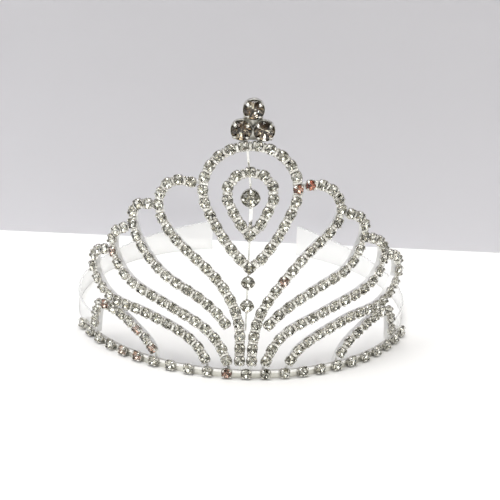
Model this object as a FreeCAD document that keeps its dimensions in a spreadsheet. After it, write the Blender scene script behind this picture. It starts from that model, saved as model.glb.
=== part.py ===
"""Bridal tiara: rhinestone cup chains soldered on a bent wire frame.

The tiara is laid out flat, as it is before bending: s runs along the band and z runs up.
Bending wraps the flat layout round a vertical cylinder, the head's front.
w is the distance out of the cylinder, and w = 0 is the plane of every stone's girdle.
Origin: the middle of the footprint, on the surface that the band stands on. Front: -Y.
"""

import FreeCAD, Part
import math
import os

import Sketcher
from FreeCAD import Placement, Rotation, Vector

os.makedirs("parts", exist_ok=True)
doc = FreeCAD.newDocument("bridal_tiara")

# Driving dimensions, in millimetres and degrees
DIMENSIONS = {
    "bend_radius": 68.0,         # head circle through the stones' girdles
    "circle_setback": 2.37,       # the head circle's centre, behind the middle of the footprint
    "band_thickness": 0.8,
    "band_height": 3.3,
    "band_half_angle": 70.5,
    "cup_depth": 1.7,            # girdle plane to the back of a chain cup
    "rail_thickness": 1.0,       # flat wire on edge, behind each chain
    "rail_depth": 1.9,
    "lower_wire": 0.7,           # spine from the stem to the inner teardrop's tip
    "lower_wire_foot": 19.0,
    "lower_wire_top": 62.0,
    "stem_bar_width": 1.3,       # flat bar from the inner teardrop's tip to the centre stone
    "stem_bar_depth": 0.8,
    "stem_bar_foot": 58.5,
    "stem_bar_top": 75.0,
    "upper_wire": 1.0,           # spine from the centre stone to the crest, leaning to the left
    "upper_wire_foot": 72.5,
    "upper_wire_top": 101.0,
    "upper_wire_lean": 3.7,
    "small_post": 1.6,           # posts that carry single cups on the spine
    "large_post": 3.0,
    "plate_width": 7.0,          # plate behind the crest's cups
    "plate_height": 11.0,
    "chain_pitch": 5.0,
    "outer_ring_count": 25,      # stones in the teardrops' closed chains
    "inner_ring_count": 12,
    "band_pitch": 7.5,
    "band_stone_count": 23,
    "band_stone_height": 2.35,
    "small_stone": 3.9,          # stones of the chains
    "medium_stone": 4.6,         # stones on the spine
    "centre_stone": 6.3,
    "large_stone": 7.2,          # crest stones
    "small_cup": 4.4,
    "medium_cup": 5.1,
    "centre_cup": 7.2,
    "large_cup": 8.3,
    "claw_width": 0.75,
    "link_width": 1.0,
    "link_thickness": 0.4,
    "strip_thickness": 0.5,      # clear plastic strips behind the band's ends
    "strip_lap": 6.0,            # degrees of the band that each strip lies behind
    "left_strip_end": 170.2,
    "right_strip_end": 157.5,
}

sheet = doc.addObject("Spreadsheet::Sheet", "dimensions")
for row, (alias, value) in enumerate(DIMENSIONS.items(), start=1):
    sheet.set(f"A{row}", alias)
    sheet.set(f"B{row}", str(value))
    sheet.setAlias(f"B{row}", alias)
doc.recompute()


def size(alias):
    """A driving dimension, read from the sheet."""
    return float(sheet.get(alias))


def bind(obj, **expressions):
    """Tie properties of a document object to cells of the sheet."""
    for name, expression in expressions.items():
        obj.setExpression(name, expression)


# ---------------------------------------------------------------- bending the flat layout

def around(angle, radius, z):
    """A point at a radius of the head circle, angle measured from the front."""
    y = size("circle_setback") - radius * math.cos(angle)
    return Vector(radius * math.sin(angle), y, z)


def bend(s, z, w):
    """The place in space of a point of the flat layout."""
    return around(s / size("bend_radius"), size("bend_radius") + w, z)


def facing(s, z, slope=0.0, w=0.0):
    """Placement of a setting: its Z faces out of the tiara and its X follows the chain."""
    angle = s / size("bend_radius")
    along = Vector(math.cos(angle), math.sin(angle), 0)
    out = Vector(math.sin(angle), -math.cos(angle), 0)
    chain = along * math.cos(slope) + Vector(0, 0, math.sin(slope))
    return Placement(bend(s, z, w), Rotation(chain, out.cross(chain), out, "ZXY"))


class Route:
    """A line of the flat layout, walked from end to end."""

    def __init__(self, wire):
        self.wire = wire
        self.length = wire.Length

    @classmethod
    def through(cls, points):
        """A smooth line through points (s, z)."""
        curve = Part.BSplineCurve()
        curve.interpolate([Vector(s, z, 0) for s, z in points])
        return cls(Part.Wire([curve.toShape()]))

    def walk(self, count):
        """count evenly spaced (s, z, slope) along the line, both ends included."""
        points = self.wire.discretize(Number=count)
        stations = []
        for i, point in enumerate(points):
            ahead = points[min(i + 1, count - 1)]
            behind = points[max(i - 1, 0)]
            slope = math.atan2(ahead.y - behind.y, ahead.x - behind.x)
            stations.append((point.x, point.y, slope))
        return stations

    def stones(self, lead_in, lead_out, count):
        """count evenly spaced (s, z, slope) between the leads, which stay bare."""
        run = self.length - lead_in - lead_out
        fine = 40 * count
        stations = self.walk(fine + 1)
        picked = []
        for i in range(count):
            distance = lead_in + run * i / (count - 1)
            picked.append(stations[round(distance / self.length * fine)])
        return picked


def bar_through(sections):
    """A solid bar through closed sections, each a list of corners in order."""
    outlines = [Part.makePolygon(corners + corners[:1]) for corners in sections]
    return Part.makeLoft(outlines, True, False)


def rail_shape(route):
    """The flat wire, on edge, that follows a route behind its cups."""
    half = size("rail_thickness") / 2
    front = -size("cup_depth")
    back = front - size("rail_depth")
    corners = [Vector(0, half, front), Vector(0, half, back),
               Vector(0, -half, back), Vector(0, -half, front)]
    sections = []
    for s, z, slope in route.walk(max(8, round(route.length / 3.0))):
        place = facing(s, z, slope)
        sections.append([place.multVec(corner) for corner in corners])
    return bar_through(sections)


# ---------------------------------------------------------------- patterns for the settings

CROWN_SHARE = 0.17                      # heights of a stone's two cones, per diameter
PAVILION_SHARE = 0.34


def make_stone(name, diameter):
    """Round cut stone: a flat-topped crown over a pointed pavilion, girdle at Z = 0."""
    crown = doc.addObject("Part::Cone", name + "_crown")
    bind(crown, Radius1=f"{diameter} / 2", Radius2=f"{diameter} * 0.29",
         Height=f"{diameter} * {CROWN_SHARE}")
    pavilion = doc.addObject("Part::Cone", name + "_pavilion")
    bind(pavilion, Radius1="0", Radius2=f"{diameter} / 2", Height=f"{diameter} * {PAVILION_SHARE}")
    bind(pavilion, **{"Placement.Base.z": f"-{diameter} * {PAVILION_SHARE}"})
    stone = doc.addObject("Part::MultiFuse", name)
    stone.Shapes = [crown, pavilion]
    stone.Label = name
    return stone


def make_cup(name, stone, cup, depth, with_link):
    """Open cup with four claws folded over the stone's edge, its floor on Z = -depth."""
    wall = doc.addObject("Part::Cylinder", name + "_wall")
    bind(wall, Radius=f"{cup} / 2", Height=f"{depth} - 0.1")
    bind(wall, **{"Placement.Base.z": f"-{depth}"})
    bore = doc.addObject("Part::Cylinder", name + "_bore")
    bind(bore, Radius=f"{stone} / 2 + 0.02", Height=depth)
    bind(bore, **{"Placement.Base.z": f"-{depth} + 0.3"})
    shell = doc.addObject("Part::Cut", name + "_shell")
    shell.Base = wall
    shell.Tool = bore
    pieces = [shell]
    for corner in range(4):
        claw = doc.addObject("Part::Wedge", f"{name}_claw_{corner + 1}")
        bind(claw,
             Xmin=f"{stone} / 2 + 0.03", Xmax=f"{cup} / 2 + 0.1",
             X2min=f"{stone} * 0.42", X2max=f"{stone} * 0.42 + 0.22",
             Zmin="-dimensions.claw_width / 2", Zmax="dimensions.claw_width / 2",
             Z2min="-dimensions.claw_width * 0.32", Z2max="dimensions.claw_width * 0.32",
             Ymin="-0.5", Ymax=f"{stone} * 0.16")
        upright = Rotation(Vector(1, 0, 0), 90)
        turned = Rotation(Vector(0, 0, 1), 45 + 90 * corner)
        claw.Placement = Placement(Vector(0, 0, 0), turned.multiply(upright))
        pieces.append(claw)
    if with_link:
        link = doc.addObject("Part::Box", name + "_link")
        bind(link, Length=f"dimensions.chain_pitch - {cup} + 0.15",
             Width="dimensions.link_width", Height="dimensions.link_thickness")
        bind(link, **{"Placement.Base.x": f"{cup} / 2 - 0.1",
                      "Placement.Base.y": "-dimensions.link_width / 2",
                      "Placement.Base.z": f"-{depth} + 0.3"})
        pieces.append(link)
    fused = doc.addObject("Part::MultiFuse", name)
    fused.Shapes = pieces
    fused.Label = name
    return fused


small_stone = make_stone("small_stone_pattern", "dimensions.small_stone")
medium_stone = make_stone("medium_stone_pattern", "dimensions.medium_stone")
centre_stone = make_stone("centre_stone_pattern", "dimensions.centre_stone")
large_stone = make_stone("large_stone_pattern", "dimensions.large_stone")
chain_cup = make_cup("chain_cup_pattern", "dimensions.small_stone", "dimensions.small_cup",
                     "dimensions.cup_depth", True)
single_cup = make_cup("single_cup_pattern", "dimensions.small_stone", "dimensions.small_cup",
                      "dimensions.cup_depth", False)
MEDIUM_DEEPER = 0.2                     # a wider cup's floor lies this much further back
CENTRE_DEEPER = 0.8
LARGE_DEEPER = 1.4
medium_cup = make_cup("medium_cup_pattern", "dimensions.medium_stone", "dimensions.medium_cup",
                      f"(dimensions.cup_depth + {MEDIUM_DEEPER})", False)
centre_cup = make_cup("centre_cup_pattern", "dimensions.centre_stone", "dimensions.centre_cup",
                      f"(dimensions.cup_depth + {CENTRE_DEEPER})", False)
large_cup = make_cup("large_cup_pattern", "dimensions.large_stone", "dimensions.large_cup",
                     f"(dimensions.cup_depth + {LARGE_DEEPER})", False)
doc.recompute()

nodes = []


def add_node(name, shape):
    """A sub-part whose shape is worked out from the sheet's sizes."""
    feature = doc.addObject("Part::Feature", name)
    feature.Label = name
    feature.Shape = shape
    nodes.append(feature)
    return feature


def add_group(name, pattern, placements):
    """One node that holds a row of identical pieces, each a separate solid."""
    copies = []
    for placement in placements:
        copy = pattern.Shape.copy()
        copy.Placement = placement
        copies.extend(copy.Solids)
    return add_node(name, Part.makeCompound(copies))


# ---------------------------------------------------------------- band

band = doc.addObject("PartDesign::Body", "base_band")
band.Label = "base_band"
section = band.newObject("Sketcher::SketchObject", "band_section")
xz_plane = [f for f in band.Origin.OriginFeatures if f.Role == "XZ_Plane"][0]
section.AttachmentSupport = [(xz_plane, "")]
section.MapMode = "FlatFace"
outer = size("bend_radius") - size("cup_depth")
inner = outer - size("band_thickness")
top = size("band_height")
corners = [Vector(inner, 0, 0), Vector(outer, 0, 0), Vector(outer, top, 0), Vector(inner, top, 0)]
for start, end in zip(corners, corners[1:] + corners[:1]):
    section.addGeometry(Part.LineSegment(start, end))
for line in range(4):
    section.addConstraint(Sketcher.Constraint("Coincident", line, 2, (line + 1) % 4, 1))
for line, direction in enumerate(("Horizontal", "Vertical", "Horizontal", "Vertical")):
    section.addConstraint(Sketcher.Constraint(direction, line))
section.addConstraint(Sketcher.Constraint("PointOnObject", 0, 1, -1))
for label, constraint, expression in (
    ("height", Sketcher.Constraint("DistanceY", 1, 1, 1, 2, top), "dimensions.band_height"),
    ("thickness", Sketcher.Constraint("DistanceX", 0, 1, 0, 2, outer - inner),
     "dimensions.band_thickness"),
    ("outside", Sketcher.Constraint("DistanceX", -1, 1, 0, 2, outer),
     "dimensions.bend_radius - dimensions.cup_depth"),
):
    index = section.addConstraint(constraint)
    section.renameConstraint(index, label)
    section.setExpression("Constraints." + label, expression)
sweep = band.newObject("PartDesign::Revolution", "band_sweep")
sweep.Profile = section
sweep.ReferenceAxis = (section, ["V_Axis"])
sweep.Midplane = True
bind(sweep, Angle="2 * dimensions.band_half_angle")
band.Placement = Placement(Vector(0, size("circle_setback"), 0), Rotation(Vector(0, 0, 1), -90))
nodes.append(band)

BAND_ROW_SHIFT = 0.9                    # the row sits a little to the right of the middle
half_count = (int(size("band_stone_count")) - 1) // 2
band_places = [BAND_ROW_SHIFT + step * size("band_pitch") for step in range(-half_count, half_count + 1)]
band_settings = [facing(s, size("band_stone_height")) for s in band_places]
add_group("base_cups", single_cup, band_settings)
add_group("base_stones", small_stone, band_settings)

link_pattern = doc.addObject("Part::Box", "band_link_pattern")
bind(link_pattern, Length="dimensions.band_pitch - dimensions.small_cup + 0.2",
     Width="dimensions.link_width", Height="dimensions.link_thickness")
bind(link_pattern, **{
    "Placement.Base.x": "(dimensions.small_cup - dimensions.band_pitch) / 2 - 0.1",
    "Placement.Base.y": "-dimensions.link_width / 2"})
doc.recompute()
link_shape = link_pattern.Shape.copy()
link_height = size("band_height") - size("link_width") / 2
link_places = [facing((a + b) / 2, link_height, 0.0, -size("cup_depth") + 0.1)
               for a, b in zip(band_places, band_places[1:])]
links = []
for placement in link_places:
    bar = link_pattern.Shape.copy()
    bar.Placement = placement.multiply(link_pattern.Placement)
    links.append(bar)
add_node("base_links", Part.makeCompound(links))

# ---------------------------------------------------------------- petals and teardrops

ON_BAND = size("band_height") - 0.1     # height at which a rail meets the band's top edge
CLEAR_OF_BAND = 4.6                     # rail length that its cups leave bare above the band
BESIDE_CHAIN = 4.6                      # rail length that its cups leave bare beside a chain
AT_STEM = 2.6                           # the same where a petal's foot runs into the stem


def add_chain(name, route, lead_in, lead_out, count):
    """A rail with its row of cups and stones, as three nodes."""
    add_node(name + "_wire", rail_shape(route))
    places = [facing(s, z, slope) for s, z, slope in route.stones(lead_in, lead_out, count)]
    add_group(name + "_cups", chain_cup, places)
    add_group(name + "_stones", small_stone, places)


# Each petal is one rail bent by hand: out from its inner neighbour, over the tip, back to its foot.
# The two sides differ a little, as handwork does.
PETALS = {
    "petal_a_left": [(-18.6, 77), (-24.5, 78), (-30.5, 77.2), (-35, 72.5), (-36.4, 66.5), (-33.2, 59),
                     (-22.4, 49.3), (-10.7, 39), (-5.6, 31), (-2.7, 22.5), (-2.0, 13), (-1.5, ON_BAND)],
    "petal_a_right": [(17.6, 77.6), (23, 78.3), (28.5, 77.3), (34.2, 72), (36, 65.5), (32.6, 59.3),
                      (25.5, 53.3), (17.5, 45), (9.8, 35), (5.1, 26.5), (3.2, 18), (2.9, ON_BAND)],
    "petal_b_left": [(-36.4, 65), (-42, 65.7), (-46.6, 63.6), (-48.6, 58.5), (-46.8, 52.5), (-42, 46.3),
                     (-31.5, 38.3), (-20.5, 33.3), (-12, 27.3), (-6.6, 20.6)],
    "petal_b_right": [(36, 66), (41.5, 64), (46.5, 61), (48.6, 56), (46.4, 49.5), (42, 43.3),
                      (33, 38.6), (22, 33.3), (14, 28), (7.2, 20.6)],
    "petal_c_left": [(-48.6, 55), (-54, 52.3), (-58.2, 49), (-59.4, 44), (-56.5, 38.3), (-49, 32.6),
                     (-37, 28.9), (-25.5, 24.9), (-14, 18.6), (-8.4, 11.2), (-5.8, ON_BAND)],
    "petal_c_right": [(48.6, 54), (54.5, 51), (60, 47), (61.3, 42.5), (58, 36), (51, 32),
                      (39, 28.7), (26, 24.2), (14.6, 18.2), (9.6, 11), (7.4, ON_BAND)],
    "petal_d_left": [(-59.4, 42), (-65.5, 40), (-71, 36.5), (-72.6, 31), (-68.5, 26.5), (-60, 22.6),
                     (-45, 21.8), (-33.4, 19.8), (-22, 15.2), (-16.2, 9.4), (-14.4, ON_BAND)],
    "petal_d_right": [(61, 43.5), (67, 41), (73, 37), (74.2, 31), (69.7, 26.3), (61, 22.7),
                      (46, 21.9), (35.3, 19.2), (25, 14.6), (18.6, 8.8), (17, ON_BAND)],
    "petal_e_left": [(-70.5, ON_BAND), (-69.6, 10), (-66.8, 16.6), (-60.5, 18), (-52.5, 17),
                     (-44.5, 13.2), (-38.2, 8.8), (-35.6, ON_BAND)],
    "petal_e_right": [(71.6, ON_BAND), (70.8, 10), (67, 17.4), (61, 18.3), (54, 16.8),
                      (46.4, 13.2), (40.5, 8.2), (38.2, ON_BAND)],
}
for name, points in PETALS.items():
    petal = Route.through(points)
    lead_in = CLEAR_OF_BAND if points[0][1] == ON_BAND else BESIDE_CHAIN
    lead_out = CLEAR_OF_BAND if points[-1][1] == ON_BAND else AT_STEM
    pitches = round((petal.length - lead_in - lead_out) / size("chain_pitch"))
    add_chain(name, petal, lead_in, lead_out, pitches + 1)


def teardrop(centre, radius, tip, bow):
    """A teardrop bent from one length: a round top and two gently bowed sides to a tip below."""
    middle = Vector(*centre, 0)
    fall = Vector(*tip, 0) - middle
    straight_down = math.atan2(fall.y, fall.x)
    half = math.acos(radius / fall.Length)
    crown = middle + Vector(0, radius, 0)
    ends = []
    middles = []
    tips = []
    for side in (-1, 1):
        towards = straight_down + side * half
        outwards = Vector(math.cos(towards), math.sin(towards), 0)
        end = middle + outwards * radius
        foot = middle + fall + Vector(side * size("rail_thickness") / 2, 0, 0)
        ends.append(end)
        tips.append(foot)
        middles.append((end + foot) / 2 + outwards * bow)
    edges = [Part.Arc(tips[0], middles[0], ends[0]).toShape(),
             Part.Arc(ends[0], crown, ends[1]).toShape(),
             Part.Arc(ends[1], middles[1], tips[1]).toShape()]
    return Route(Part.Wire(edges))


# A ring of cups starts on the tip and stops one pitch short of it.
for name, loop, ring_count in (
    ("outer_teardrop", teardrop((-0.6, 76.2), 18.0, (0.8, 45.7), 1.2), int(size("outer_ring_count"))),
    ("inner_teardrop", teardrop((-0.6, 75.1), 8.9, (0.3, 58.8), 0.5), int(size("inner_ring_count"))),
):
    add_chain(name, loop, 0, loop.length / ring_count, ring_count)

# ---------------------------------------------------------------- spine, centre stone and crest

rail_back = -size("cup_depth") - size("rail_depth")

lower_wire = doc.addObject("Part::Cylinder", "spine_lower_wire")
lower_wire.Label = "spine_lower_wire"
bind(lower_wire, Radius="dimensions.lower_wire / 2",
     Height="dimensions.lower_wire_top - dimensions.lower_wire_foot")
lower_wire.Placement = Placement(
    bend(0, size("lower_wire_foot"), rail_back - size("lower_wire") / 2), Rotation())
nodes.append(lower_wire)

stem_bar = doc.addObject("Part::Box", "spine_stem_bar")
stem_bar.Label = "spine_stem_bar"
bind(stem_bar, Length="dimensions.stem_bar_width", Width="dimensions.stem_bar_depth",
     Height="dimensions.stem_bar_top - dimensions.stem_bar_foot")
stem_bar.Placement = Placement(
    bend(0, size("stem_bar_foot"), rail_back) - Vector(size("stem_bar_width") / 2, 0, 0), Rotation())
nodes.append(stem_bar)

upper_wire = doc.addObject("Part::Cylinder", "spine_upper_wire")
upper_wire.Label = "spine_upper_wire"
upper_w = rail_back - size("upper_wire") / 2
upper_foot = bend(0, size("upper_wire_foot"), upper_w)
upper_run = bend(-size("upper_wire_lean"), size("upper_wire_top"), upper_w) - upper_foot
bind(upper_wire, Radius="dimensions.upper_wire / 2")
upper_wire.Height = upper_run.Length
upper_wire.Placement = Placement(upper_foot, Rotation(Vector(0, 0, 1), upper_run))
nodes.append(upper_wire)

POST_BITE = 0.3                         # a post's back end sinks this far into its wire


def add_post(name, places, cup_back, diameter):
    """Short round posts that carry cups on the spine, from the cups' floors to the wire."""
    back = rail_back - POST_BITE
    posts = []
    for s, z in places:
        post = Part.makeCylinder(diameter / 2, -cup_back - back)
        post.Placement = facing(s, z, 0.0, back)
        posts.append(post)
    add_node(name, Part.makeCompound(posts))


CLAWS_UPRIGHT = math.pi / 4             # turns a cup so that its claws stand above and beside
spine_places = [(0, 39.8), (0, 30.4)]
spine_settings = [facing(s, z, CLAWS_UPRIGHT) for s, z in spine_places]
add_group("spine_cups", medium_cup, spine_settings)
add_group("spine_stones", medium_stone, spine_settings)
add_post("spine_posts", spine_places, size("cup_depth") + MEDIUM_DEEPER, size("small_post"))

centre_place = (-0.5, 73.6)
add_group("centre_cup", centre_cup, [facing(*centre_place, CLAWS_UPRIGHT)])
add_group("centre_stone", centre_stone, [facing(*centre_place, CLAWS_UPRIGHT)])
add_post("centre_post", [centre_place], size("cup_depth") + CENTRE_DEEPER, size("large_post"))

CREST_HALF_SPREAD = 4.2                 # the crest's three cups touch each other
CREST_LOW = 100.0
CREST_TOP = 108.1
CREST_S = -0.8                          # handwork: the crest sits a little to one side
crest_settings = [facing(CREST_S, CREST_TOP), facing(CREST_S - CREST_HALF_SPREAD, CREST_LOW),
                  facing(CREST_S + CREST_HALF_SPREAD, CREST_LOW)]
add_group("crest_cups", large_cup, crest_settings)
add_group("crest_stones", large_stone, crest_settings)

large_back = size("cup_depth") + LARGE_DEEPER
PLATE_FOOT = 95.6                       # height of the plate's lower edge
PLATE_BITE = 0.2                        # the plate sinks this far into the upper wire
plate = doc.addObject("Part::Box", "crest_plate")
plate.Label = "crest_plate"
bind(plate, Length="dimensions.plate_width", Height="dimensions.plate_height")
plate.Width = -large_back - rail_back + PLATE_BITE
plate.Placement = Placement(bend(CREST_S, PLATE_FOOT, -large_back)
                            - Vector(size("plate_width") / 2, 0, 0), Rotation())
nodes.append(plate)

# ---------------------------------------------------------------- clear strips

STRIP_HEIGHT = 6.6
STRIP_ROOT_RISE = 2.4                   # taller where it is fixed inside the band's end
STRIP_TIP_RISE = 6.4                    # and tallest at its free end
STRIP_GAP = 0.05                        # between a strip and the band's inner face
STRIP_SECTIONS = 16


def clear_strip(side, end_angle):
    """A thin clear strip that carries the band's circle on behind the head, free at its end."""
    start = math.radians(size("band_half_angle") - size("strip_lap"))
    end = math.radians(end_angle)
    outside = inner - STRIP_GAP
    inside = outside - size("strip_thickness")
    sections = []
    for i in range(STRIP_SECTIONS):
        along = i / (STRIP_SECTIONS - 1)
        angle = side * (start + (end - start) * along)
        tall = STRIP_HEIGHT + STRIP_ROOT_RISE * (1 - along) ** 3 + STRIP_TIP_RISE * along ** 3
        sections.append([around(angle, outside, 0), around(angle, outside, tall),
                         around(angle, inside, tall), around(angle, inside, 0)])
    return bar_through(sections)


add_node("clear_strip_left", clear_strip(-1, size("left_strip_end")))
add_node("clear_strip_right", clear_strip(1, size("right_strip_end")))

# ---------------------------------------------------------------- check and write

doc.recompute()
for obj in doc.Objects:
    if "Invalid" in obj.State or "Error" in obj.State:
        raise RuntimeError(f"{obj.Label} failed: {obj.State}")
for node in nodes:
    if node.Shape.isNull() or not node.Shape.isValid():
        raise RuntimeError(f"{node.Label} has no valid shape")
    print(f"{node.Label}: {len(node.Shape.Solids)} solids, {node.Shape.Volume:.1f} mm3")
    node.Shape.exportStep(f"parts/{node.Label}.step")
print(f"{len(nodes)} nodes")
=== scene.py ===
"""Looks of the bridal tiara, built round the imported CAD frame.

Lengths named in millimetres are turned into metres with MM. The front faces -Y.
Each CAD stone gives its own place and facing; cut crystals and four-claw cups stand there.
"""

import math
import random

import bmesh
import bpy
import numpy as np
from mathutils import Matrix, Vector


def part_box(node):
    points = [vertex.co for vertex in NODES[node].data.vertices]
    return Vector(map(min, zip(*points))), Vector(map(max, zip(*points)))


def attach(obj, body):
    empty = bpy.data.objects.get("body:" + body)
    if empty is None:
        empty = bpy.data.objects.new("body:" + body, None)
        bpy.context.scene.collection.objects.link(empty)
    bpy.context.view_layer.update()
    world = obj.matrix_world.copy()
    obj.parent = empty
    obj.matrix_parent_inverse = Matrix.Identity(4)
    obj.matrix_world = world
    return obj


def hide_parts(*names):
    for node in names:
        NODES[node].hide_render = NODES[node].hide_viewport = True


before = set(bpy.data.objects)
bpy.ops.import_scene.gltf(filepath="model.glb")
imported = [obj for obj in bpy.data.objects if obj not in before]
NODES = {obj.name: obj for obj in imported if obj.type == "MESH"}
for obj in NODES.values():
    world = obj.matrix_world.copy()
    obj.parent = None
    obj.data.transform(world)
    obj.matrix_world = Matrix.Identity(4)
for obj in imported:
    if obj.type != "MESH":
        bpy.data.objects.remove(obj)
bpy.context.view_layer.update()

MM = 0.001
BODY = "root"

BAND_RADIUS = 66.3 * MM          # outer face of the band
SMALL_STONE = 3.9 * MM
MEDIUM_STONE = 4.6 * MM
CENTRE_STONE = 6.3 * MM
LARGE_STONE = 7.2 * MM
CROWN_SHARE = 0.17               # crown height and pavilion depth of a CAD stone, per diameter
PAVILION_SHARE = 0.34
CUP_DEPTH = 1.7 * MM             # girdle plane to the back of a chain cup

# The band's foremost point is one band radius in front of the head circle's centre.
HEAD_CENTRE_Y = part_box("base_band")[0].y + BAND_RADIUS
rng = random.Random(11)


# ---------------------------------------------------------------- node material helpers

class Shader:
    """A small node-graph writer: one material, its Principled shader and its output."""

    def __init__(self, name):
        self.material = bpy.data.materials.new(name)
        self.material.use_nodes = True
        self.tree = self.material.node_tree
        self.principled = self.tree.nodes["Principled BSDF"]
        self.output = self.tree.nodes["Material Output"]

    def node(self, kind, **settings):
        made = self.tree.nodes.new(kind)
        for key, value in settings.items():
            if key in made.inputs:
                made.inputs[key].default_value = value
            else:
                setattr(made, key, value)
        return made

    def link(self, source, target):
        self.tree.links.new(source, target)

    def set(self, **sockets):
        """Values on the Principled shader's own sockets, spaces written as underscores."""
        for name, value in sockets.items():
            self.principled.inputs[name.replace("_", " ")].default_value = value

    def noise(self, scale, detail=2.0, roughness=0.5):
        where = self.node("ShaderNodeTexCoord")
        texture = self.node("ShaderNodeTexNoise")
        texture.inputs["Scale"].default_value = scale
        texture.inputs["Detail"].default_value = detail
        texture.inputs["Roughness"].default_value = roughness
        self.link(where.outputs["Object"], texture.inputs["Vector"])
        return texture.outputs["Fac"]

    def ramp(self, source, stops):
        """A colour ramp over (position, colour) stops."""
        ramp = self.node("ShaderNodeValToRGB")
        while len(ramp.color_ramp.elements) < len(stops):
            ramp.color_ramp.elements.new(0.5)
        for element, (position, colour) in zip(ramp.color_ramp.elements, stops):
            element.position = position
            element.color = (*colour, 1.0)
        self.link(source, ramp.inputs["Fac"])
        return ramp.outputs["Color"]

    def spread(self, source, low, high):
        """The 0 to 1 source stretched to low..high."""
        spread = self.node("ShaderNodeMapRange")
        spread.inputs["To Min"].default_value = low
        spread.inputs["To Max"].default_value = high
        self.link(source, spread.inputs["Value"])
        return spread.outputs["Result"]

    def bump(self, source, strength, distance):
        bump = self.node("ShaderNodeBump")
        bump.inputs["Strength"].default_value = strength
        bump.inputs["Distance"].default_value = distance
        self.link(source, bump.inputs["Height"])
        self.link(bump.outputs["Normal"], self.principled.inputs["Normal"])


def silver(name, light, shade, rough_low, rough_high, grain, metal=1.0):
    """Silver plate: bright metal, a little uneven in tone, polish and surface."""
    shader = Shader(name)
    shader.set(Metallic=metal)
    tone = shader.noise(grain, detail=3.0)
    colour = shader.ramp(tone, [(0.30, shade), (0.68, light)])
    shader.link(colour, shader.principled.inputs["Base Color"])
    polish = shader.noise(grain * 3.1, detail=2.0)
    shader.link(shader.spread(polish, rough_low, rough_high), shader.principled.inputs["Roughness"])
    shader.bump(shader.noise(grain * 2.2, detail=4.0), 0.25, 0.05 * MM)
    return shader.material


def crystal_crown():
    """Clear cut glass: light goes in and out through the crown."""
    shader = Shader("crystal")
    shader.set(Base_Color=(0.99, 1.0, 0.985, 1.0), Roughness=0.0, IOR=1.56, Transmission_Weight=1.0)
    return shader.material


# Painted light and shade on the crystals' backs: each face gets a random tone from near black to near
# white; the darker list paints the large stones darker.
PALE_FOIL_PAINTED_LIGHT = [(0.00, (0.080, 0.070, 0.050)), (0.14, (0.340, 0.320, 0.250)), (0.34, (0.760, 0.740, 0.660)),
             (0.60, (0.960, 0.950, 0.900)), (1.00, (1.000, 1.000, 0.980))]
DARK_FOIL_PAINTED_LIGHT = [(0.00, (0.020, 0.015, 0.010)), (0.22, (0.110, 0.072, 0.042)), (0.46, (0.400, 0.300, 0.200)),
             (0.72, (0.820, 0.720, 0.570)), (1.00, (1.000, 1.000, 0.950))]


def crystal_foil(name, tones, rough):
    """The silvered back of a crystal, with painted light: each face has a random tone from painted shade to
    painted highlight.
    """
    shader = Shader(name)
    shader.set(Metallic=1.0, Roughness=rough)
    painted_facet_light = shader.node("ShaderNodeAttribute", attribute_name="painted_facet_light")
    tone = shader.ramp(painted_facet_light.outputs["Fac"], tones)
    warm = shader.node("ShaderNodeAttribute", attribute_name="painted_copper_glint")
    mix = shader.node("ShaderNodeMix", data_type="RGBA", blend_type="MULTIPLY")
    shader.link(warm.outputs["Fac"], mix.inputs["Factor"])
    shader.link(tone, mix.inputs["A"])
    # painted glint: a red-brown tint multiplied into the foil of the listed stones
    mix.inputs["B"].default_value = (0.80, 0.36, 0.24, 1.0)
    shader.link(mix.outputs["Result"], shader.principled.inputs["Base Color"])
    return shader.material


def clear_plastic():
    """Thin clear plastic strip, drawn as a half-opaque white veil: painted reflection of light on its
    faces, a little uneven.
    """
    shader = Shader("clear_plastic")
    shader.set(Base_Color=(0.985, 0.99, 0.985, 1.0), Roughness=0.10, IOR=1.46)
    # painted reflection: uneven opacity of the white veil
    painted_sheen = shader.noise(9.0, detail=1.0)
    shader.link(shader.spread(painted_sheen, 0.50, 0.62), shader.principled.inputs["Alpha"])
    return shader.material


def painted_edge_light():
    """The strips' top edge: a grey half-clear line, a little greyer than their faces, painted light
    gathered in the cut edge.
    """
    shader = Shader("strip_edge_light")
    shader.set(Roughness=0.25, IOR=1.46)
    tone = shader.ramp(shader.noise(40.0), [(0.3, (0.60, 0.61, 0.62)), (0.7, (0.72, 0.73, 0.74))])
    shader.link(tone, shader.principled.inputs["Base Color"])
    shader.set(Alpha=0.32)
    return shader.material


def setting_metal():
    """Plated cups and claws: small dents in bump and roughness, and the same dents paint the colour from
    bright to dark grey, painted highlight and painted shade.
    """
    shader = Shader("silver_setting")
    shader.set(Metallic=1.0)
    dents_light_and_shade = shader.noise(1100.0, detail=3.0, roughness=0.65)
    # painted shade and painted highlight: dark grey to near white following the dents
    colour = shader.ramp(dents_light_and_shade, [(0.34, (0.24, 0.225, 0.185)), (0.46, (0.56, 0.545, 0.49)),
                                 (0.58, (0.90, 0.89, 0.84)), (0.70, (1.0, 1.0, 0.98))])
    shader.link(colour, shader.principled.inputs["Base Color"])
    shader.link(shader.spread(dents_light_and_shade, 0.32, 0.12), shader.principled.inputs["Roughness"])
    shader.bump(dents_light_and_shade, 0.6, 0.12 * MM)
    return shader.material


MATERIALS = {
    "wire": silver("silver_wire", (0.97, 0.97, 0.96), (0.86, 0.86, 0.86), 0.24, 0.40, 420.0, 0.55),
    "band": silver("silver_band", (0.82, 0.81, 0.75), (0.62, 0.61, 0.55), 0.24, 0.38, 300.0),
    "cup": silver("silver_cup", (0.98, 0.98, 0.96), (0.84, 0.83, 0.80), 0.10, 0.22, 700.0),
    "setting": setting_metal(),
    "crown": crystal_crown(),
    "foil": crystal_foil("crystal_foil", PALE_FOIL_PAINTED_LIGHT, 0.10),
    "darker_painted_foil": crystal_foil("crystal_darker_painted_foil", DARK_FOIL_PAINTED_LIGHT, 0.03),
    "clear": clear_plastic(),
    "rim": painted_edge_light(),
}


# ---------------------------------------------------------------- reading the CAD stones

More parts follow.
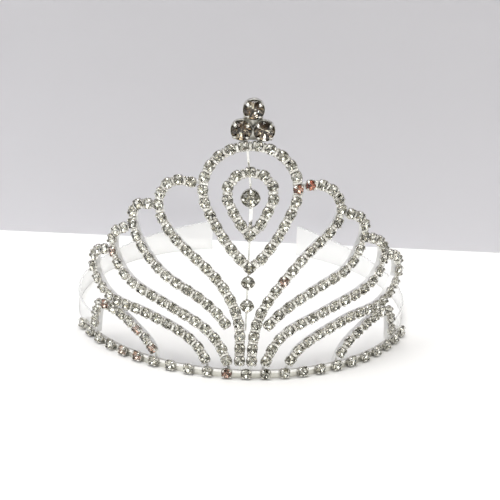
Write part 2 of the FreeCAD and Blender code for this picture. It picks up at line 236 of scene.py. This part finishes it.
def solids_of(node):
    """The vertices of each solid of a CAD node, in the order they were modelled."""
    mesh = bmesh.new()
    mesh.from_mesh(NODES[node].data)
    bmesh.ops.remove_doubles(mesh, verts=mesh.verts, dist=0.001 * MM)
    seen = set()
    solids = []
    for start in mesh.verts:
        if start in seen:
            continue
        seen.add(start)
        reached = [start]
        for vert in reached:
            for edge in vert.link_edges:
                other = edge.other_vert(vert)
                if other not in seen:
                    seen.add(other)
                    reached.append(other)
        solids.append(np.array([vert.co for vert in reached]))
    mesh.free()
    return solids


class Setting:
    """The place of one stone: girdle centre, facing direction, direction along its chain."""

    def __init__(self, points):
        middle = Vector(points.mean(axis=0))
        self.out = Vector((middle.x, middle.y - HEAD_CENTRE_Y, 0)).normalized()
        depths = points @ np.array(self.out)
        self.diameter = (depths.max() - depths.min()) / (CROWN_SHARE + PAVILION_SHARE)
        girdle = depths.max() - CROWN_SHARE * self.diameter
        self.centre = middle + self.out * (girdle - middle.dot(self.out))
        self.along = Vector((-self.out.y, self.out.x, 0))

    def matrix(self, turn=0.0, scale=1.0):
        """Takes a template to this place: its Z faces out and its X follows the chain."""
        across = self.out.cross(self.along)
        turned = Matrix((self.along, across, self.out)).transposed().to_4x4()
        own = Matrix.Rotation(turn, 4, "Z") @ Matrix.Scale(scale, 4)
        return Matrix.Translation(self.centre) @ turned @ own


def settings_of(node, chained=True):
    """The settings of a CAD stone node, each turned to follow its chain."""
    found = [Setting(points) for points in solids_of(node)]
    if chained:
        for i, setting in enumerate(found):
            ahead = found[min(i + 1, len(found) - 1)].centre
            behind = found[max(i - 1, 0)].centre
            along = ahead - behind
            along -= setting.out * along.dot(setting.out)
            setting.along = along.normalized()
    return found


# ---------------------------------------------------------------- templates

class Template:
    """Points and faces of a small part, stamped many times into one mesh."""

    def __init__(self):
        self.points = []
        self.faces = []
        self.slots = []
        self.smooth = []

    def add(self, points, faces, slot=0, smooth=True):
        base = len(self.points)
        self.points.extend(points)
        for face in faces:
            self.faces.append(tuple(base + i for i in face))
            self.slots.append(slot)
            self.smooth.append(smooth)

    def lathe(self, profile, sides, closed=False, **how):
        """A ring surface from (radius, z) points."""
        points = []
        for radius, z in profile:
            for k in range(sides):
                angle = 2 * math.pi * k / sides
                points.append((radius * math.cos(angle), radius * math.sin(angle), z))
        rows = len(profile)
        faces = []
        for row in range(rows if closed else rows - 1):
            after = (row + 1) % rows
            for k in range(sides):
                step = (k + 1) % sides
                faces.append((row * sides + k, row * sides + step, after * sides + step, after * sides + k))
        self.add(points, faces, **how)

    def tube(self, sections, **how):
        """A closed-ended tube through sections with equal numbers of points."""
        count = len(sections[0])
        points = [point for section in sections for point in section]
        faces = []
        for row in range(len(sections) - 1):
            for k in range(count):
                step = (k + 1) % count
                here, after = row * count, (row + 1) * count
                faces.append((here + k, here + step, after + step, after + k))
        last = (len(sections) - 1) * count
        faces.append(tuple(reversed(range(count))))
        faces.append(tuple(last + k for k in range(count)))
        self.add(points, faces, **how)


def brilliant(table=0.56, crown=0.34, girdle=0.03, pavilion=0.84):
    """Round brilliant of radius 1, girdle plane at z = 0. Slot 0 is crown glass, slot 1 foil."""
    stone = Template()
    eighth = math.pi / 4

    def at(radius, step, z):
        return (radius * math.cos(step * eighth), radius * math.sin(step * eighth), z)

    half = math.cos(eighth / 2)
    star_radius = 0.80
    star_z = girdle + (crown - girdle) * (1 - half * star_radius) / (1 - table)
    low_radius = 0.36
    low_z = -girdle - (pavilion - girdle) * (1 - half * low_radius)
    for k in range(8):
        table_here, table_next = at(table, k, crown), at(table, k + 1, crown)
        star, star_before = at(star_radius, k + 0.5, star_z), at(star_radius, k - 0.5, star_z)
        edge, edge_half, edge_next = at(1, k, girdle), at(1, k + 0.5, girdle), at(1, k + 1, girdle)
        stone.add([table_here, star, table_next], [(0, 1, 2)], smooth=False)
        stone.add([table_here, star_before, edge, star], [(0, 1, 2, 3)], smooth=False)
        stone.add([star, edge, edge_half], [(0, 1, 2)], smooth=False)
        stone.add([star, edge_half, edge_next], [(0, 1, 2)], smooth=False)
        under, under_half, under_next = at(1, k, -girdle), at(1, k + 0.5, -girdle), at(1, k + 1, -girdle)
        stone.add([edge, under, under_half, edge_half], [(0, 1, 2, 3)], smooth=False)
        stone.add([edge_half, under_half, under_next, edge_next], [(0, 1, 2, 3)], smooth=False)
        low, low_before = at(low_radius, k + 0.5, low_z), at(low_radius, k - 0.5, low_z)
        stone.add([low, under_half, under], [(0, 1, 2)], slot=1, smooth=False)
        stone.add([low, under_next, under_half], [(0, 1, 2)], slot=1, smooth=False)
        stone.add([(0, 0, -pavilion), low, under, low_before], [(0, 1, 2, 3)], slot=1, smooth=False)
    stone.add([at(table, k, crown) for k in range(8)], [tuple(range(8))], smooth=False)
    return stone


def oval(centre, normal_out, sideways, wide, thick, points=10):
    """A rounded cross-section: wide along sideways, thick along normal_out."""
    section = []
    for k in range(points):
        angle = 2 * math.pi * k / points
        c, s = math.cos(angle), math.sin(angle)
        flat = math.copysign(abs(c) ** 0.7, c) * wide / 2
        deep = math.copysign(abs(s) ** 0.8, s) * thick / 2
        section.append(tuple(Vector(centre) + sideways * flat + normal_out * deep))
    return section


def claw(template, corner, stone, wall, bottom, width, thick):
    """One claw: up the cup's wall, over the girdle and down on the crown, with a round tip."""
    angle = math.radians(45 + 90 * corner)
    radial = Vector((math.cos(angle), math.sin(angle), 0))
    sideways = Vector((-radial.y, radial.x, 0))
    crown = 0.34 * stone
    path = [(wall * 0.99, bottom, 1.0, 1.0), (wall, bottom * 0.5, 1.0, 1.0), (wall * 1.005, 0.0, 1.0, 1.0),
            (wall * 0.985, crown * 0.42, 0.97, 1.05), (stone * 0.955, crown * 0.86, 0.92, 1.15),
            (stone * 0.87, crown * 1.14, 0.84, 1.2), (stone * 0.79, crown * 1.26, 0.70, 1.1),
            (stone * 0.73, crown * 1.24, 0.46, 0.8), (stone * 0.705, crown * 1.19, 0.16, 0.3)]
    sections = []
    for i, (radius, z, wide, deep) in enumerate(path):
        before = path[max(i - 1, 0)]
        after = path[min(i + 1, len(path) - 1)]
        run = Vector((after[0] - before[0], 0, after[1] - before[1])).normalized()
        tangent = radial * run.x + Vector((0, 0, run.z))
        normal = sideways.cross(tangent)
        where = radial * radius + Vector((0, 0, z))
        sections.append(oval(where, normal, sideways, width * wide, thick * deep))
    template.tube(sections)


CUP_SIDES = 28
CLAW_THICKNESS = 0.26 * MM
CLAW_GAP = 0.02 * MM             # between a claw's middle line and the cup's wall


def cup(stone, outside, depth, claw_width):
    """A four-claw cup, in metres: turned wall with a rolled rim, floor and claws."""
    template = Template()
    rim = -0.30 * MM
    inside = outside - 0.22 * MM
    foot = outside - 0.42 * MM
    profile = [(0.02 * MM, -depth), (foot * 0.86, -depth), (foot, -depth + 0.10 * MM),
               (foot + 0.16 * MM, -depth + 0.42 * MM), (outside - 0.04 * MM, -depth + 0.95 * MM),
               (outside, rim - 0.16 * MM), (outside - 0.03 * MM, rim - 0.03 * MM),
               (outside - 0.10 * MM, rim), (inside + 0.02 * MM, rim - 0.04 * MM),
               (inside - 0.02 * MM, rim - 0.25 * MM), (foot * 0.8, -depth + 0.35 * MM),
               (0.02 * MM, -depth + 0.30 * MM)]
    template.lathe(profile, CUP_SIDES, closed=True)
    for corner in range(4):
        claw(template, corner, stone, outside + CLAW_GAP, -depth * 0.55, claw_width, CLAW_THICKNESS)
    return template


LINK_THICKNESS = 0.5 * MM


def link_bar(length):
    """The wide fold of metal that joins two chain cups, from x = 0 to x = length."""
    template = Template()
    stations = [0.0, 0.12, 0.5, 0.88, 1.0]
    widths = [3.9, 3.8, 3.7, 3.8, 3.9]
    sections = [oval((length * t, 0, 0), Vector((0, 0, 1)), Vector((0, 1, 0)), wide * MM, LINK_THICKNESS)
                for t, wide in zip(stations, widths)]
    template.tube(sections)
    return template


# ---------------------------------------------------------------- stamping

def stamp(name, stamps, materials):
    """One mesh piece from (template, matrix, glint) stamps, with a random painted light value on each face.
    """
    points, faces, slots, smooth, painted_facet_light, painted_copper_glint = [], [], [], [], [], []
    for template, matrix, warm in stamps:
        base = len(points)
        local = np.array(template.points)
        turned = local @ np.array(matrix.to_3x3()).T + np.array(matrix.translation)
        points.extend(map(tuple, turned))
        for face in template.faces:
            faces.append(tuple(base + i for i in face))
            # random painted light value of each face, read by the foil
            painted_facet_light.append(rng.random())
            painted_copper_glint.append(warm)
        slots.extend(template.slots)
        smooth.extend(template.smooth)
    mesh = bpy.data.meshes.new(name)
    mesh.from_pydata(points, [], faces)
    for material in materials:
        mesh.materials.append(material)
    mesh.polygons.foreach_set("material_index", slots)
    mesh.polygons.foreach_set("use_smooth", smooth)
    for label, values in (("painted_facet_light", painted_facet_light), ("painted_copper_glint", painted_copper_glint)):
        attribute = mesh.attributes.new(label, "FLOAT", "FACE")
        attribute.data.foreach_set("value", values)
    mesh.update()
    piece = bpy.data.objects.new(name, mesh)
    bpy.context.scene.collection.objects.link(piece)
    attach(piece, BODY)
    return piece


CUTS = {
    "small": (brilliant(), SMALL_STONE / 2),
    "medium": (brilliant(), MEDIUM_STONE / 2),
    "centre": (brilliant(), CENTRE_STONE / 2),
    "large": (brilliant(table=0.54), LARGE_STONE / 2),
}
CUPS = {
    "small": cup(SMALL_STONE / 2, 2.2 * MM, CUP_DEPTH, 1.15 * MM),
    "medium": cup(MEDIUM_STONE / 2, 2.55 * MM, CUP_DEPTH + 0.2 * MM, 1.05 * MM),
    "centre": cup(CENTRE_STONE / 2, 3.6 * MM, CUP_DEPTH + 0.8 * MM, 1.1 * MM),
    "large": cup(LARGE_STONE / 2, 4.15 * MM, CUP_DEPTH + 1.4 * MM, 1.25 * MM),
}
CUP_RADIUS = 2.2 * MM            # of a chain cup
LINK_LAP = 0.2 * MM              # a link reaches this far into each of its two cups
LINK_DEPTH = 0.45 * MM           # links lie this far behind the girdle plane
PAINTED_COPPER_GLINT = {                       # painted red-brown glint on the foil of single stones, by chain and number
    "petal_a_right_stones": {0: 1.0, 11: 0.35},
    "outer_teardrop_stones": {18: 0.7},
    "petal_c_left_stones": {3: 0.45},
    "petal_e_left_stones": {3: 0.6, 7: 0.35, 9: 0.45},
    "base_stones": {4: 0.3, 5: 0.35, 10: 0.55},
}


def wobble(setting, degrees):
    """Small tilt of a hand-set stone, so that neighbours don't flash alike."""
    tilt = Matrix.Rotation(math.radians(rng.uniform(-degrees, degrees)), 4, "X")
    return tilt @ Matrix.Rotation(math.radians(rng.uniform(-degrees, degrees)), 4, "Y")


def set_stones(stone_node, cup_node, size, chained=True, linked=True, closed=False, cup_turn=0.0):
    """Crystals and claw cups in place of a CAD node of stones and one of cups."""
    settings = settings_of(stone_node, chained)
    cut, radius = CUTS[size]
    crystals = []
    cups = []
    for number, setting in enumerate(settings):
        warm = PAINTED_COPPER_GLINT.get(stone_node, {}).get(number, 0.0)
        spin = rng.uniform(0, math.pi / 4)
        crystals.append((cut, setting.matrix(spin, radius) @ wobble(setting, 3.0), warm))
        cups.append((CUPS[size], setting.matrix(cup_turn), 0.0))
    if linked:
        following = settings[1:] + (settings[:1] if closed else [])
        for here, after in zip(settings, following):
            gap = (after.centre - here.centre).length - 2 * CUP_RADIUS
            run = (after.centre - here.centre).normalized()
            out = (here.out + after.out).normalized()
            across = out.cross(run)
            turned = Matrix((run, across, across.cross(run) * -1)).transposed().to_4x4()
            start = here.centre + run * (CUP_RADIUS - LINK_LAP) - out * LINK_DEPTH
            cups.append((link_bar(gap + 2 * LINK_LAP), Matrix.Translation(start) @ turned, 0.0))
    foil = MATERIALS["darker_painted_foil" if size == "large" else "foil"]
    stones = stamp(stone_node + "_cut", crystals, [MATERIALS["crown"], foil])
    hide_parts(stone_node)
    holders = stamp(cup_node + "_formed", cups, [MATERIALS["setting"]])
    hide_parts(cup_node)


PETALS = [f"petal_{letter}_{side}" for letter in "abcde" for side in ("left", "right")]
TEARDROPS = ["outer_teardrop", "inner_teardrop"]
for chain in PETALS + TEARDROPS:
    set_stones(chain + "_stones", chain + "_cups", "small", closed=chain in TEARDROPS)
set_stones("base_stones", "base_cups", "small", linked=False)
UPRIGHT = math.pi / 4            # these cups' claws stand above, below and beside the stone
set_stones("spine_stones", "spine_cups", "medium", linked=False, cup_turn=UPRIGHT)
set_stones("centre_stone", "centre_cup", "centre", chained=False, linked=False, cup_turn=UPRIGHT)
set_stones("crest_stones", "crest_cups", "large", chained=False, linked=False)


# ---------------------------------------------------------------- CAD pieces that stay

def finish_cad(node, material, bevel, segments=2):
    """A CAD piece that stays: its material, rounded edges and smooth faces."""
    piece = NODES[node]
    piece.data.materials.clear()
    piece.data.materials.append(MATERIALS[material])
    rounded = piece.modifiers.new("rounded_edges", "BEVEL")
    rounded.width = bevel
    rounded.segments = segments
    rounded.limit_method = "ANGLE"
    rounded.angle_limit = math.radians(50)
    rounded.harden_normals = True


for chain in PETALS + TEARDROPS:
    finish_cad(chain + "_wire", "wire", 0.16 * MM)
finish_cad("base_band", "band", 0.18 * MM)
finish_cad("base_links", "cup", 0.10 * MM)
for wire in ("spine_lower_wire", "spine_stem_bar", "spine_upper_wire"):
    finish_cad(wire, "cup", 0.05 * MM)
finish_cad("spine_posts", "cup", 0.05 * MM)
finish_cad("centre_post", "cup", 0.05 * MM)
finish_cad("crest_plate", "band", 0.20 * MM)
for side in ("left", "right"):
    finish_cad(f"clear_strip_{side}", "clear", 0.08 * MM)


RIM_LOWEST = 6.0 * MM            # the strips stand higher than this everywhere
RIM_WIDTH = 0.55 * MM
RIM_HEIGHT = 0.35 * MM


def strip_rim(name, side):
    """The strip's upper edge, where light collects to a thin grey line."""
    node = f"clear_strip_{side}"
    corners = np.array([corner.co for corner in NODES[node].data.vertices])
    tops = {}
    for x, y, z in corners:
        turn = round(math.atan2(x, HEAD_CENTRE_Y - y), 2)
        if z > tops.get(turn, (0, 0, 0))[2]:
            tops[turn] = (x, y, z)
    line = [Vector(tops[turn]) for turn in sorted(tops) if tops[turn][2] > RIM_LOWEST]
    rim = Template()
    up = Vector((0, 0, 1))
    sections = []
    for i, place in enumerate(line):
        run = (line[min(i + 1, len(line) - 1)] - line[max(i - 1, 0)]).normalized()
        sections.append(oval(place, up, run.cross(up).normalized(), RIM_WIDTH, RIM_HEIGHT))
    rim.tube(sections)
    piece = stamp(name, [(rim, Matrix.Identity(4), 0.0)], [MATERIALS["rim"]])


# painted edge light: a grey half-clear line laid along each strip's top edge
for side in ("left", "right"):
    strip_rim(f"strip_edge_light_{side}", side)


# ---------------------------------------------------------------- stage, light, camera

def flat_colour(name, colour, rough):
    """A matt stage paint, very slightly uneven."""
    shader = Shader(name)
    shader.set(Roughness=rough)
    shade = tuple(channel * 0.99 for channel in colour)
    tone = shader.ramp(shader.noise(9.0), [(0.35, shade), (0.65, colour)])
    shader.link(tone, shader.principled.inputs["Base Color"])
    return shader


def plane(name, corners, material):
    mesh = bpy.data.meshes.new(name)
    mesh.from_pydata(corners, [], [(0, 1, 2, 3)])
    mesh.materials.append(material)
    mesh.update()
    made = bpy.data.objects.new(name, mesh)
    bpy.context.scene.collection.objects.link(made)
    return made


FLOOR_REACH = 4.0
plane("floor", [(-FLOOR_REACH, -FLOOR_REACH, 0), (FLOOR_REACH, -FLOOR_REACH, 0),
                (FLOOR_REACH, FLOOR_REACH, 0), (-FLOOR_REACH, FLOOR_REACH, 0)],
      flat_colour("floor_paper", (0.93, 0.93, 0.93), 0.7).material)

HEAD_AXIS = Vector((0, HEAD_CENTRE_Y, 0))
CAMERA_TURN = math.radians(-2.06)       # the photographed tiara is turned a little to the right


def around_head(point):
    """A point of the camera's own set-up, taken to the tiara's frame."""
    return HEAD_AXIS + Matrix.Rotation(CAMERA_TURN, 3, "Z") @ Vector(point)


WALL_Y = 74.0 * MM               # the wall stands just behind the clear strips
WALL_REACH = 3.0
WALL_SHADE = 160.0 * MM          # painted shade: the wall's colour darkens from its foot up to this height
wall = flat_colour("wall_paper", (0.66, 0.65, 0.69), 0.9)
height = wall.node("ShaderNodeSeparateXYZ")
wall.link(wall.node("ShaderNodeTexCoord").outputs["Object"], height.inputs["Vector"])
rise = wall.node("ShaderNodeMapRange")
rise.inputs["From Max"].default_value = WALL_SHADE
wall.link(height.outputs["Z"], rise.inputs["Value"])
# painted light and shade: the wall colour is paler at its foot and darker higher up
wall.link(wall.ramp(rise.outputs["Result"], [(0.0, (0.65, 0.645, 0.68)), (0.45, (0.58, 0.575, 0.605)),
                                             (1.0, (0.525, 0.52, 0.545))]),
          wall.principled.inputs["Base Color"])
see_through = wall.node("ShaderNodeBsdfTransparent")
side_choice = wall.node("ShaderNodeMixShader")
facing = wall.node("ShaderNodeNewGeometry")
wall.link(facing.outputs["Backfacing"], side_choice.inputs["Fac"])
wall.link(wall.principled.outputs["BSDF"], side_choice.inputs[1])
wall.link(see_through.outputs["BSDF"], side_choice.inputs[2])
wall.link(side_choice.outputs["Shader"], wall.output.inputs["Surface"])
plane("wall", [around_head((-WALL_REACH, WALL_Y, 0)), around_head((WALL_REACH, WALL_Y, 0)),
               around_head((WALL_REACH, WALL_Y, 2.2)), around_head((-WALL_REACH, WALL_Y, 2.2))],
      wall.material)


def softbox(name, place, aim, width, height, power, colour):
    light = bpy.data.lights.new(name, "AREA")
    light.shape = "RECTANGLE"
    light.size = width
    light.size_y = height
    light.energy = power
    light.color = colour
    made = bpy.data.objects.new(name, light)
    made.location = around_head(place)
    made.rotation_mode = "QUATERNION"
    made.rotation_quaternion = (around_head(aim) - made.location).to_track_quat("-Z", "Y")
    bpy.context.scene.collection.objects.link(made)


TARGET = (0, -60 * MM, 50 * MM)
softbox("overhead", (-0.15, -0.35, 1.25), TARGET, 1.1, 0.9, 14.0, (1.0, 0.985, 0.95))
softbox("left_fill", (-1.1, -0.75, 0.75), TARGET, 0.7, 0.9, 4.5, (0.93, 0.95, 1.0))
softbox("right_fill", (1.1, -0.5, 0.55), TARGET, 0.6, 0.8, 3.0, (1.0, 0.98, 0.92))

world = bpy.data.worlds.new("room")
bpy.context.scene.world = world
world.use_nodes = True
room = world.node_tree
background = room.nodes["Background"]
direction = room.nodes.new("ShaderNodeTexCoord")
patches = room.nodes.new("ShaderNodeTexNoise")
patches.inputs["Scale"].default_value = 2.2
patches.inputs["Detail"].default_value = 1.0
room.links.new(direction.outputs["Generated"], patches.inputs["Vector"])
tones = room.nodes.new("ShaderNodeValToRGB")
for element, (position, tone) in zip(tones.color_ramp.elements,
                                     [(0.42, (0.16, 0.15, 0.13, 1)), (0.60, (0.80, 0.80, 0.80, 1))]):
    element.position = position
    element.color = tone
room.links.new(patches.outputs["Fac"], tones.inputs["Fac"])
room.links.new(tones.outputs["Color"], background.inputs["Color"])
background.inputs["Strength"].default_value = 0.60

CAMERA_DISTANCE = 900 * MM
ELEVATION = math.radians(22.0)
ROLL = math.radians(2.60)        # the photograph's right side hangs lower
LENS = 172.8                     # mm on the 36 mm sensor
AIM_RIGHT = math.radians(0.167)  # the tiara stands a little left of the picture's middle

camera = bpy.data.objects.new("camera", bpy.data.cameras.new("camera"))
bpy.context.scene.collection.objects.link(camera)
camera.data.lens = LENS
camera.data.sensor_width = 36.0
camera.data.clip_start = 0.05
camera.data.clip_end = 20.0
back = Vector((0, -math.cos(ELEVATION), math.sin(ELEVATION)))
spot = Vector(TARGET) + back * CAMERA_DISTANCE
level = Matrix(((1, 0, 0), (0, math.sin(ELEVATION), math.cos(ELEVATION)), tuple(back))).transposed()
aimed = level @ Matrix.Rotation(ROLL, 3, "Z") @ Matrix.Rotation(-AIM_RIGHT, 3, "Y")
camera.matrix_world = (Matrix.Translation(around_head(spot))
                       @ (Matrix.Rotation(CAMERA_TURN, 3, "Z") @ aimed).to_4x4())
bpy.context.scene.camera = camera

bpy.context.scene.view_settings.view_transform = "Standard"
